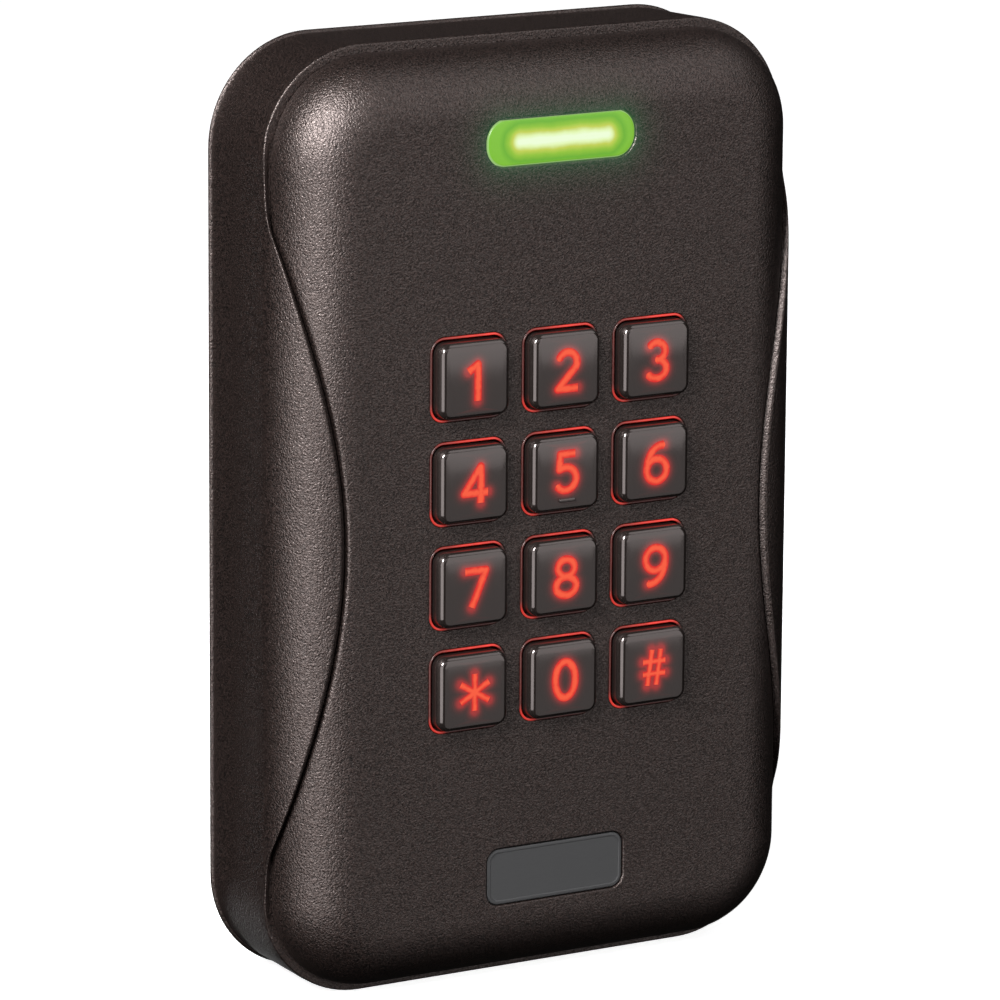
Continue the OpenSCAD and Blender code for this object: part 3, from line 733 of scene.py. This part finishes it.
def stroke_polygons(stroke, half):
    """One polygon for each straight piece of a stroke, and one disc for each bend."""
    polygons = []
    for (x0, z0), (x1, z1) in zip(stroke, stroke[1:]):
        length = max(1e-6, math.hypot(x1 - x0, z1 - z0))
        nx, nz = -(z1 - z0) / length * half, (x1 - x0) / length * half
        polygons.append([(x0 + nx, z0 + nz), (x0 - nx, z0 - nz),
                         (x1 - nx, z1 - nz), (x1 + nx, z1 + nz)])
    for x, z in stroke[1:-1]:
        polygons.append(circle_loop(half, x, z, 12))
    return polygons


def crown(z_from_centre):
    """How far the cap's front falls away from its highest line."""
    return KEY_CROWN_R - math.sqrt(KEY_CROWN_R ** 2 - z_from_centre ** 2)


def key_front(name):
    """Depth of a cap's highest line, without the nib of the middle key."""
    return KEYS[name][1].y - (NIB_PROUD if name == "5" else 0.0)


def placed(name, points):
    """Points of a legend moved from round (0, 0) onto its key."""
    x, z = middle(KEYS[name])
    return [(px + x + LEGEND_SHIFT, pz + z + LEGEND_LIFT.get(name, 0.0)) for px, pz in points]


def distance_to_legend(name):
    """A function that gives a point's distance (mm) from the centre lines of a key's legend."""
    marks = [mark for stroke in legend_strokes(name) for mark in placed(name, dense(stroke, 0.15))]
    near = kdtree.KDTree(len(marks))
    for i, (x, z) in enumerate(marks):
        near.insert((x, 0, z), i)
    near.balance()
    return lambda x, z: near.find((x, 0, z))[2]


def legend(name):
    """The lit symbol on a key, a hair proud of the cap."""
    _, cz = middle(KEYS[name])
    front = key_front(name)
    half = LEGEND_STROKE / 2 * LEGEND_WEIGHT.get(name, 1.0)
    polygons = []
    spine = []
    for stroke in legend_strokes(name):
        line = placed(name, dense(stroke, 0.6))
        polygons += stroke_polygons(line, half)
        spine += line
    distance = distance_to_legend(name)
    shape = Shape()
    shape.union(polygons, lambda x, z: front + LEGEND_PROUD - crown(z - cz),
                lambda x, z: front - LEGEND_SUNK - crown(z - cz), spine)

    def core(x, depth, z):
        return 1 - min(1.0, distance(x, z) / half)

    return shape.make("legend_" + name, weighted=False, attribute=("core", core))


def keycap(name):
    """A key: crowned cap with rounded edges, its retaining flange, and the hollow behind."""
    cx, cz = middle(KEYS[name])
    front = key_front(name)
    flange_back = KEYS[name][0].y
    flange_front = flange_back + FLANGE_T
    shape = Shape()
    cap = box_outline(KEY_W, KEY_H, KEY_CORNER_R, cx, cz)

    def crowned(loop, depth):
        share = (depth - flange_front) / (front - flange_front)
        return [(x, depth - share * crown(z - cz), z) for x, z in loop]

    rows = [crowned(cap(-KEY_EDGE_R * side), front - KEY_EDGE_R * down)
            for side, down in quarter_round(7)]
    rows.append(crowned(cap(0), flange_front))
    flange = round_loop(FLANGE_W, FLANGE_H, WINDOW_R, cx, cz)
    pocket = round_loop(KEY_W - 2 * CAP_WALL, KEY_H - 2 * CAP_WALL, 0.6, cx, cz)
    post_r = 2.6
    post = []
    for x, z in pocket:
        share = post_r / math.hypot(x - cx, z - cz)
        post.append((mix(cx, x, share), mix(cz, z, share)))
    roof = front - CAP_ROOF
    rows += [at_depth(flange, flange_front), at_depth(flange, flange_back)]
    rows += [at_depth(pocket, flange_back), at_depth(pocket, roof)]
    rows += [at_depth(post, roof), at_depth(post, flange_back)]
    shape.bridge(rows)
    shape.sheet(cap(-KEY_EDGE_R), (), lambda x, z: front - crown(z - cz), cap_grid(cx, cz))
    shape.sheet(post, (), flange_back)
    distance = distance_to_legend(name)
    lit_depth = 0.6

    def glow(x, depth, z):
        away = max(0.0, distance(x, z) - LEGEND_STROKE / 2)
        return math.exp(-away / GLOW_REACH) if depth > front - lit_depth else 0.0

    return shape.make("cap_" + name, attribute=("glow", glow), weighted=False)


def cap_grid(cx, cz, step=0.34):
    """Points spread over a cap's front, short of its edges and corners."""
    margin, corner = 0.2, 0.6
    half_w = KEY_W / 2 - KEY_EDGE_R - margin
    half_h = KEY_H / 2 - KEY_EDGE_R - margin
    nx, nz = int(2 * half_w / step), int(2 * half_h / step)
    grid = []
    for x in (mix(-half_w, half_w, i / nx) for i in range(nx + 1)):
        for z in (mix(-half_h, half_h, j / nz) for j in range(nz + 1)):
            past = math.hypot(max(0, abs(x) - half_w + corner), max(0, abs(z) - half_h + corner))
            if past < corner:
                grid.append((cx + x, cz + z))
    return grid


def dense(stroke, step):
    """Points along a stroke no further apart than a step."""
    points = stroke[:1]
    for (x0, z0), (x1, z1) in zip(stroke, stroke[1:]):
        count = max(1, math.ceil(math.hypot(x1 - x0, z1 - z0) / step))
        points += [(mix(x0, x1, i / count), mix(z0, z1, i / count)) for i in range(1, count + 1)]
    return points


def nib():
    """The small bar under the 5 that a finger finds the middle key by."""
    cx, cz = middle(KEYS["5"])
    front = KEYS["5"][1].y
    foot = front - 0.5
    edge = 0.15
    shape = Shape()
    loop = box_outline(2.6, 0.5, 0.24, cx, cz - KEY_H / 2 + 1.6, steps=5)
    shape.solid(rounded_edge(loop, front, edge, 4) + [at_depth(loop(0), foot)])
    return shape.make("nib_5", weighted=False)


def key_surround(name):
    """The clear liner of one key window, whose front edge glows."""
    cx, cz = middle(KEYS[name])
    width = 0.25
    shape = Shape()
    loop = box_outline(WINDOW_W, WINDOW_H, WINDOW_R, cx, cz, 10, side_steps=12, gap=-0.02)
    edge = 0.08
    front = COVER_FACE - 0.02
    turn = [(edge * side, front - edge * down) for side, down in quarter_round(3)]
    outer = [(-side, depth) for side, depth in turn]
    inner = [(side - width, depth) for side, depth in turn]
    path = [(-width, front - 0.5)] + inner[::-1] + outer + [(0, COVER_BACK), (-width, COVER_BACK)]
    rows = [at_depth(loop(grow), depth) for grow, depth in path]
    shape.bridge(rows + rows[:1])

    def lit(x, depth, z):
        """Bright along the top and round the lower left corner, and only near the front."""
        right, up = (x - cx) / WINDOW_W * 2, (z - cz) / WINDOW_H * 2
        top = smoothstep((up - 0.84) / 0.14) * mix(0.25, 1.0, smoothstep((right + 0.9) / 1.2))
        corner = smoothstep(1.3 - math.hypot(right + 1, up + 1) / 0.42)
        left = 0.10 * smoothstep((-right - 0.8) / 0.2)
        near_front = smoothstep((depth - COVER_FACE + 0.5) / 0.4)
        return max(0.03, top, corner * 0.85, left) * mix(0.03, 1.0, near_front)

    return shape.make("surround_" + name, attribute=("lit", lit), weighted=False)


# --- Materials ---

class Finish:
    """Short way to write one material's nodes. Numbers are set on sockets and sockets are linked."""

    def __init__(self, name):
        self.material = bpy.data.materials.new(name)
        self.material.use_nodes = True
        self.tree = self.material.node_tree
        self.shader = self.tree.nodes["Principled BSDF"]
        self.where = self.node("ShaderNodeTexCoord").outputs["Object"]

    def node(self, kind, settings=None, **inputs):
        made = self.tree.nodes.new(kind)
        for key, value in (settings or {}).items():
            setattr(made, key, value)
        for key, value in inputs.items():
            self.put(made.inputs[key.replace("_", " ")], value)
        return made

    def put(self, socket, value):
        if isinstance(value, bpy.types.NodeSocket):
            self.tree.links.new(value, socket)
        else:
            socket.default_value = value

    def surface(self, **inputs):
        for key, value in inputs.items():
            self.put(self.shader.inputs[key.replace("_", " ")], value)
        return self.material

    def math(self, kind, *values):
        made = self.node("ShaderNodeMath", {"operation": kind})
        for socket, value in zip(made.inputs, values):
            self.put(socket, value)
        return made.outputs[0]

    def noise(self, scale, detail=2, rough=0.5, where=None):
        """Noise from 0 to 1; scale is in cells per metre."""
        made = self.node("ShaderNodeTexNoise", Scale=scale, Detail=detail, Roughness=rough)
        self.put(made.inputs["Vector"], where or self.where)
        return made.outputs["Fac"]

    def range(self, value, low, high, to_low, to_high):
        """The value moved from the span low to high onto the span to_low to to_high."""
        made = self.node("ShaderNodeMapRange")
        for socket, number in zip(made.inputs, (value, low, high, to_low, to_high)):
            self.put(socket, number)
        return made.outputs[0]

    def blend(self, share, first, second):
        """Colour between two colours, each a tuple or a socket."""
        made = self.node("ShaderNodeMix", {"data_type": "RGBA"})
        self.put(made.inputs["Factor"], share)
        for index, colour in ((6, first), (7, second)):
            self.put(made.inputs[index], (*colour, 1) if isinstance(colour, tuple) else colour)
        return made.outputs[2]

    def bump(self, height, distance, strength=1.0):
        made = self.node("ShaderNodeBump", Strength=strength, Distance=distance)
        self.put(made.inputs["Height"], height)
        return made.outputs["Normal"]


def scaled(colour, share):
    return tuple(channel * share for channel in colour)


BODY = (0.0066, 0.0040, 0.0034)
TINT = (1.0, 0.84, 0.80)           # of reflections in the textured plastic


def textured_body(name, glow=False):
    """Fine spark-eroded grain on dark brown plastic; with glow, also painted green light from the
    light bar.
    """
    f = Finish(name)
    grain = f.noise(3900, 1, 0.6)
    flecks = f.noise(3500, 1, 0.6)
    tone = f.range(grain, 0.36, 0.64, 0.0, 1.0)
    colour = f.blend(tone, scaled(BODY, 0.05), scaled(BODY, 2.0))
    height = f.math("MULTIPLY_ADD", flecks, 0.35, grain)
    rough = f.range(grain, 0.3, 0.7, 0.38, 0.46)
    sheen = f.blend(f.range(flecks, 0.42, 0.58, 0.0, 1.0), scaled(TINT, 0.56), TINT)
    f.surface(Base_Color=colour, Roughness=rough, Normal=f.bump(height, 0.00011, 1.0),
              Specular_Tint=sheen, Specular_IOR_Level=1.0)
    # painted light: green emission on the cover that fades away from the light bar
    if glow:
        f.surface(Emission_Color=(0.05, 0.62, 0.22, 1), Emission_Strength=painted_bar_spill(f))
    return f.material


def rounded_box_distance(f, x, z, w, h, r):
    """Distance in metres from a rounded rectangle's edge in the front view, below 0 inside it."""
    split = f.node("ShaderNodeSeparateXYZ", Vector=f.where)
    across = f.math("ABSOLUTE", f.math("SUBTRACT", split.outputs["X"], x * MM))
    up = f.math("ABSOLUTE", f.math("SUBTRACT", split.outputs["Z"], z * MM))
    past_x = f.math("SUBTRACT", across, (w / 2 - r) * MM)
    past_z = f.math("SUBTRACT", up, (h / 2 - r) * MM)
    corner_x = f.math("MAXIMUM", past_x, 0.0)
    corner_z = f.math("MAXIMUM", past_z, 0.0)
    square_x = f.math("MULTIPLY", corner_x, corner_x)
    square = f.math("ADD", square_x, f.math("MULTIPLY", corner_z, corner_z))
    inside = f.math("MINIMUM", f.math("MAXIMUM", past_x, past_z), 0.0)
    return f.math("SUBTRACT", f.math("ADD", f.math("SQRT", square), inside), r * MM)


def painted_bar_spill(f):
    """Painted green light on the cover next to the bar, as if the bar threw it there."""
    distance = rounded_box_distance(f, 0, BAR_Z, BAR_W, BAR_H, BAR_R)
    reach, strength = 1.6 * MM, 0.085
    return f.math("MULTIPLY", f.math("EXPONENT", f.math("DIVIDE", distance, -reach)), strength)


def ramp(f, value, stops):
    """Colour ramp through (position, colour) stops."""
    made = f.node("ShaderNodeValToRGB", Fac=value)
    elements = made.color_ramp.elements
    while len(elements) < len(stops):
        elements.new(0.5)
    for element, (position, colour) in zip(elements, stops):
        element.position = position
        element.color = (*colour, 1)
    return made.outputs["Color"]


def light_bar_finish():
    """Translucent lens lit from behind: pale core, yellow halo, green rim and a thin pale painted
    highlight on its edge.
    """
    f = Finish("light_bar_lit")
    core = rounded_box_distance(f, 0.3, BAR_Z, BAR_W - 8.0, 1.4, 0.7)
    drift = f.math("MULTIPLY", f.math("SUBTRACT", f.noise(420, 2), 0.5), 0.6 * MM)
    share = f.range(f.math("ADD", core, drift), -0.4 * MM, 2.6 * MM, 0.0, 1.0)
    colour = ramp(f, share, [(0.0, (0.80, 0.86, 0.66)), (0.14, (0.72, 0.80, 0.44)),
                             (0.32, (0.50, 0.51, 0.07)), (0.52, (0.24, 0.42, 0.020)),
                             (0.75, (0.11, 0.32, 0.012)), (1.0, (0.17, 0.40, 0.02))])
    # painted highlight: the emission turns pale in a thin line just inside the lens's outline
    rim = rounded_box_distance(f, 0, BAR_Z, BAR_W, BAR_H, BAR_R)
    edge = f.range(rim, -0.24 * MM, -0.06 * MM, 0.0, 0.75)
    f.surface(Base_Color=(0.02, 0.06, 0.01, 1), Roughness=0.3, Specular_IOR_Level=0.3,
              Emission_Strength=1.0, Emission_Color=f.blend(edge, colour, (0.36, 0.52, 0.24)),
              Normal=f.bump(f.noise(700, 2), 0.00002, 0.3))
    return f.material


def badge_finish():
    """Smooth satin plastic with a faint brushing."""
    f = Finish("badge_satin")
    stretch = f.node("ShaderNodeMapping", Vector=f.where, Scale=(1, 1, 14))
    brushed = f.noise(900, 3, 0.6, stretch.outputs[0])
    colour = f.blend(f.range(brushed, 0.3, 0.7, 0, 1), (0.026, 0.026, 0.027), (0.032, 0.032, 0.033))
    f.surface(Base_Color=colour, Specular_IOR_Level=0.5,
              Roughness=f.range(brushed, 0.3, 0.7, 0.34, 0.42),
              Normal=f.bump(brushed, 0.000004, 0.4))
    return f.material


def keycap_finish():
    """Smooth, slightly glossy cap with the legend's red light bleeding into it."""
    f = Finish("keycap_gloss")
    fine = f.noise(1500, 3, 0.5)
    smear = f.noise(140, 3, 0.5)
    colour = f.blend(smear, (0.0085, 0.0066, 0.0060), (0.0115, 0.0088, 0.0080))
    glow = f.node("ShaderNodeAttribute", {"attribute_name": "glow"}).outputs["Fac"]
    f.surface(Base_Color=colour, Roughness=f.range(smear, 0.3, 0.7, 0.12, 0.17),
              Specular_Tint=(1.0, 0.88, 0.86, 1), Specular_IOR_Level=0.9,
              Normal=f.bump(fine, 0.000004, 0.3), Emission_Color=(0.62, 0.008, 0.010, 1),
              Emission_Strength=f.math("MULTIPLY", glow, 0.5))
    return f.material


def legend_finish():
    """Red light through the cap, paler along the middle of each stroke."""
    f = Finish("legend_lit")
    core = f.node("ShaderNodeAttribute", {"attribute_name": "core"}).outputs["Fac"]
    patches = f.range(f.noise(1100, 2, 0.5), 0.35, 0.65, -0.15, 0.15)
    share = f.range(f.math("ADD", core, patches), 0.1, 0.7, 0.0, 1.0)
    f.surface(Base_Color=(0.05, 0.005, 0.004, 1), Roughness=0.4, Specular_IOR_Level=0.2,
              Emission_Strength=1.0,
              Emission_Color=f.blend(share, (0.60, 0.014, 0.014), (0.84, 0.100, 0.042)))
    return f.material


def surround_finish():
    """Clear liner that glows only where it gathers the backlight."""
    f = Finish("surround_lit")
    lit = f.node("ShaderNodeAttribute", {"attribute_name": "lit"}).outputs["Fac"]
    patches = f.range(f.noise(500, 2), 0.3, 0.7, 0.7, 1.15)
    f.surface(Base_Color=(0.03, 0.018, 0.016, 1), Roughness=0.3, Specular_IOR_Level=0.5,
              Emission_Color=(0.80, 0.030, 0.018, 1),
              Emission_Strength=f.math("MULTIPLY", lit, patches))
    return f.material


def moulded(name, colour, rough):
    """Plastic, rubber or ceramic with uneven tone and a fine surface."""
    f = Finish(name)
    tone = f.range(f.noise(260, 3), 0.3, 0.7, 0, 1)
    f.surface(Base_Color=f.blend(tone, scaled(colour, 0.85), scaled(colour, 1.15)),
              Roughness=f.range(f.noise(600), 0.3, 0.7, rough - 0.06, rough + 0.06),
              Normal=f.bump(f.noise(1600, 3), 0.00002, 0.5))
    return f.material


def metal(name, colour, rough=0.35):
    """Metal with rolling or turning marks along one direction."""
    f = Finish(name)
    stretch = f.node("ShaderNodeMapping", Vector=f.where, Scale=(1, 1, 18))
    marks = f.noise(700, 4, 0.6, stretch.outputs[0])
    stain = f.noise(120, 3, 0.5)
    f.surface(Base_Color=f.blend(stain, scaled(colour, 0.8), colour), Metallic=1.0,
              Roughness=f.range(marks, 0.3, 0.7, rough - 0.08, rough + 0.1),
              Normal=f.bump(marks, 0.000008, 0.5))
    return f.material


def plated(name):
    """Zinc-plated sheet with its spangle."""
    f = Finish(name)
    cells = f.node("ShaderNodeTexVoronoi", Scale=240.0, Vector=f.where).outputs["Color"]
    tone = f.node("ShaderNodeSeparateColor", Color=cells).outputs[0]
    f.surface(Base_Color=f.blend(tone, (0.50, 0.51, 0.52), (0.66, 0.67, 0.68)), Metallic=1.0,
              Roughness=f.range(tone, 0, 1, 0.3, 0.44),
              Normal=f.bump(f.noise(900, 3), 0.00001, 0.4))
    return f.material


def circuit(name):
    """Green solder mask over copper tracks."""
    f = Finish(name)
    facing = f.node("ShaderNodeMapping", Vector=f.where, Rotation=(math.pi / 2, 0, 0))
    tracks = f.node("ShaderNodeTexBrick", {"offset": 0.35}, Scale=220.0, Mortar_Size=0.05,
                    Vector=facing.outputs[0])
    line = tracks.outputs["Fac"]
    green = f.blend(f.noise(300), (0.010, 0.075, 0.030), (0.016, 0.10, 0.042))
    f.surface(Base_Color=f.blend(line, green, (0.03, 0.16, 0.06)), Roughness=0.32,
              Normal=f.bump(line, 0.00003, 0.5))
    return f.material


def lamp(name, colour):
    """The lit body of a small light."""
    f = Finish(name)
    shade = f.range(f.noise(1500, 1), 0.3, 0.7, 1.6, 2.0)
    f.surface(Base_Color=(0.6, 0.6, 0.55, 1), Roughness=0.3, Emission_Color=(*colour, 1),
              Emission_Strength=shade)
    return f.material


# --- Pieces ---

def fit(piece, body, nodes, material):
    """Ties a piece to its body, to the CAD nodes it replaces, and to its material."""
    piece.data.materials.append(material)
    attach(piece, body)
    if nodes:
        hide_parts(*nodes)


body_finish = textured_body("body_texture")
cover_finish = textured_body("cover_texture_and_painted_glow", glow=True)
for part in rear_housing():
    fit(part, "reader", ["rear_housing"], body_finish)
fit(front_cover(), "reader", ["front_cover"], cover_finish)
fit(light_bar(), "reader", ["light_bar_lens"], light_bar_finish())
fit(badge(), "reader", ["badge_plate"], badge_finish())

cap_finish, glyph_finish, liner_finish = keycap_finish(), legend_finish(), surround_finish()
for name in KEY_NAMES:
    key_body = "key_" + name
    fit(keycap(name), key_body, [key_body], cap_finish)
    fit(legend(name), key_body, [], glyph_finish)
    fit(key_surround(name), "reader", ["key_surrounds"], liner_finish)
fit(nib(), "key_5", [], cap_finish)

CAD_FINISHES = {
    "zinc_plated_steel": plated("zinc_sheet"),
    "brass": metal("brass_turned", (0.62, 0.44, 0.17)),
    "dark_steel": metal("black_steel", (0.09, 0.09, 0.10), 0.4),
    "screw_steel": metal("screw_steel", (0.52, 0.53, 0.55), 0.3),
    "seal_rubber": moulded("seal_rubber", (0.02, 0.02, 0.02), 0.75),
    "white_plastic": moulded("diffuser_white", (0.7, 0.71, 0.68), 0.45),
    "circuit_board": circuit("solder_mask"),
    "terminal_plastic": moulded("terminal_green", (0.02, 0.22, 0.09), 0.42),
    "chip_plastic": moulded("chip_black", (0.018, 0.018, 0.019), 0.55),
    "ferrite": moulded("ferrite_grey", (0.11, 0.11, 0.12), 0.6),
    "ceramic_parts": moulded("ceramic_tan", (0.42, 0.30, 0.18), 0.45),
    "connector_plastic": moulded("connector_ivory", (0.72, 0.68, 0.55), 0.5),
    "copper": metal("copper_track", (0.72, 0.36, 0.2)),
    "gold_contacts": metal("gold_pads", (0.85, 0.62, 0.25), 0.25),
    "status_led": lamp("status_led_lit", (0.3, 1.0, 0.2)),
    "backlight_led": lamp("backlight_led_lit", (1.0, 0.08, 0.04)),
    "translucent_rubber": moulded("mat_rubber", (0.45, 0.12, 0.09), 0.6),
    "clear_red_guide": moulded("guide_acrylic", (0.5, 0.08, 0.06), 0.2),
    "carbon_pill": moulded("carbon_pill", (0.025, 0.025, 0.025), 0.8),
}
slot_of = {entry["node"]: entry["material_slot"] for entry in frame["record"]["subparts"]}
for node_name, cad in frame["nodes"].items():
    if slot_of[node_name] in CAD_FINISHES and not cad.hide_render:
        for holder in cad.material_slots:
            holder.material = CAD_FINISHES[slot_of[node_name]]


# --- Floor, light and camera ---

def plain_floor():
    """A wide pale plane under the object, which lights nothing and shows in no reflection."""
    mesh = bpy.data.meshes.new("floor")
    reach = 40.0
    low = cad_box[0].z
    mesh.from_pydata([(-reach, -reach, low), (reach, -reach, low), (reach, reach, low),
                      (-reach, reach, low)], [], [(0, 1, 2, 3)])
    floor = bpy.data.objects.new("floor", mesh)
    scene.collection.objects.link(floor)
    f = Finish("floor_pale")
    f.surface(Base_Color=f.blend(f.noise(2, 2), (0.86, 0.86, 0.86), (0.9, 0.9, 0.9)), Roughness=0.9,
              Specular_IOR_Level=0.1, Emission_Color=(1, 1, 1, 1), Emission_Strength=0.85)
    mesh.materials.append(f.material)
    floor.visible_glossy = False
    floor.visible_diffuse = False


def toward(azimuth, elevation):
    """Unit vector from the object: azimuth in degrees to the right of straight in front."""
    a, e = math.radians(azimuth), math.radians(elevation)
    return Vector((math.sin(a) * math.cos(e), -math.cos(a) * math.cos(e), math.sin(e)))


def softbox(name, azimuth, elevation, distance, width, height, power):
    """A rectangular light that faces the object from a direction."""
    data = bpy.data.lights.new(name, "AREA")
    data.shape = "RECTANGLE"
    data.size, data.size_y = width, height
    data.energy = power
    box = bpy.data.objects.new(name, data)
    way = toward(azimuth, elevation)
    box.location = (cad_box[0] + cad_box[1]) / 2 + way * distance
    box.rotation_mode = "QUATERNION"
    box.rotation_quaternion = way.to_track_quat("Z", "Y")
    box.visible_camera = False
    scene.collection.objects.link(box)


def surroundings(to_camera, to_surfaces):
    """A plain world, paler where the camera sees it than where surfaces do."""
    world = bpy.data.worlds.new("studio")
    scene.world = world
    world.use_nodes = True
    nodes, links = world.node_tree.nodes, world.node_tree.links
    path = nodes.new("ShaderNodeLightPath")
    strength = nodes.new("ShaderNodeMapRange")
    strength.inputs["To Min"].default_value = to_surfaces
    strength.inputs["To Max"].default_value = to_camera
    links.new(path.outputs["Is Camera Ray"], strength.inputs["Value"])
    links.new(strength.outputs[0], nodes["Background"].inputs["Strength"])
    nodes["Background"].inputs["Color"].default_value = (1, 1, 1, 1)


def camera(azimuth, elevation, roll, lens, distance, target):
    """A camera looking at target (mm) from an azimuth and elevation in degrees."""
    back = toward(azimuth, elevation)
    data = bpy.data.cameras.new("camera")
    data.lens = lens
    data.sensor_width = 36
    data.clip_start, data.clip_end = 0.05, 200
    made = bpy.data.objects.new("camera", data)
    made.location = (Vector(target) + back * distance) * MM
    made.rotation_mode = "QUATERNION"
    upright = (-back).to_track_quat("-Z", "Y")
    made.rotation_quaternion = Quaternion(back, math.radians(roll)) @ upright
    scene.collection.objects.link(made)
    scene.camera = made


plain_floor()
surroundings(to_camera=1.0, to_surfaces=0.009)
softbox("key_light", -56, 37, 0.7, 0.27, 0.27, 13.6)
softbox("left_strip", -54, -2.5, 0.7, 0.78, 0.56, 4.5)
softbox("front_fill", 3, 28, 1.2, 0.9, 0.5, 1.2)
softbox("right_panel", 31, 10, 2.5, 1.3, 1.72, 11.2)
softbox("low_panel", 31, -27, 2.5, 1.3, 1.5, 3.0)
softbox("top_light", 56, 50, 0.8, 0.5, 0.5, 1.2)
softbox("back_light", 170, -15, 0.8, 0.4, 0.4, 1.2)
camera(-31.06, 12.43, 0.40, 230.5, 887.8, (5.11, 0, -2.85))

scene.view_settings.view_transform = "Standard"
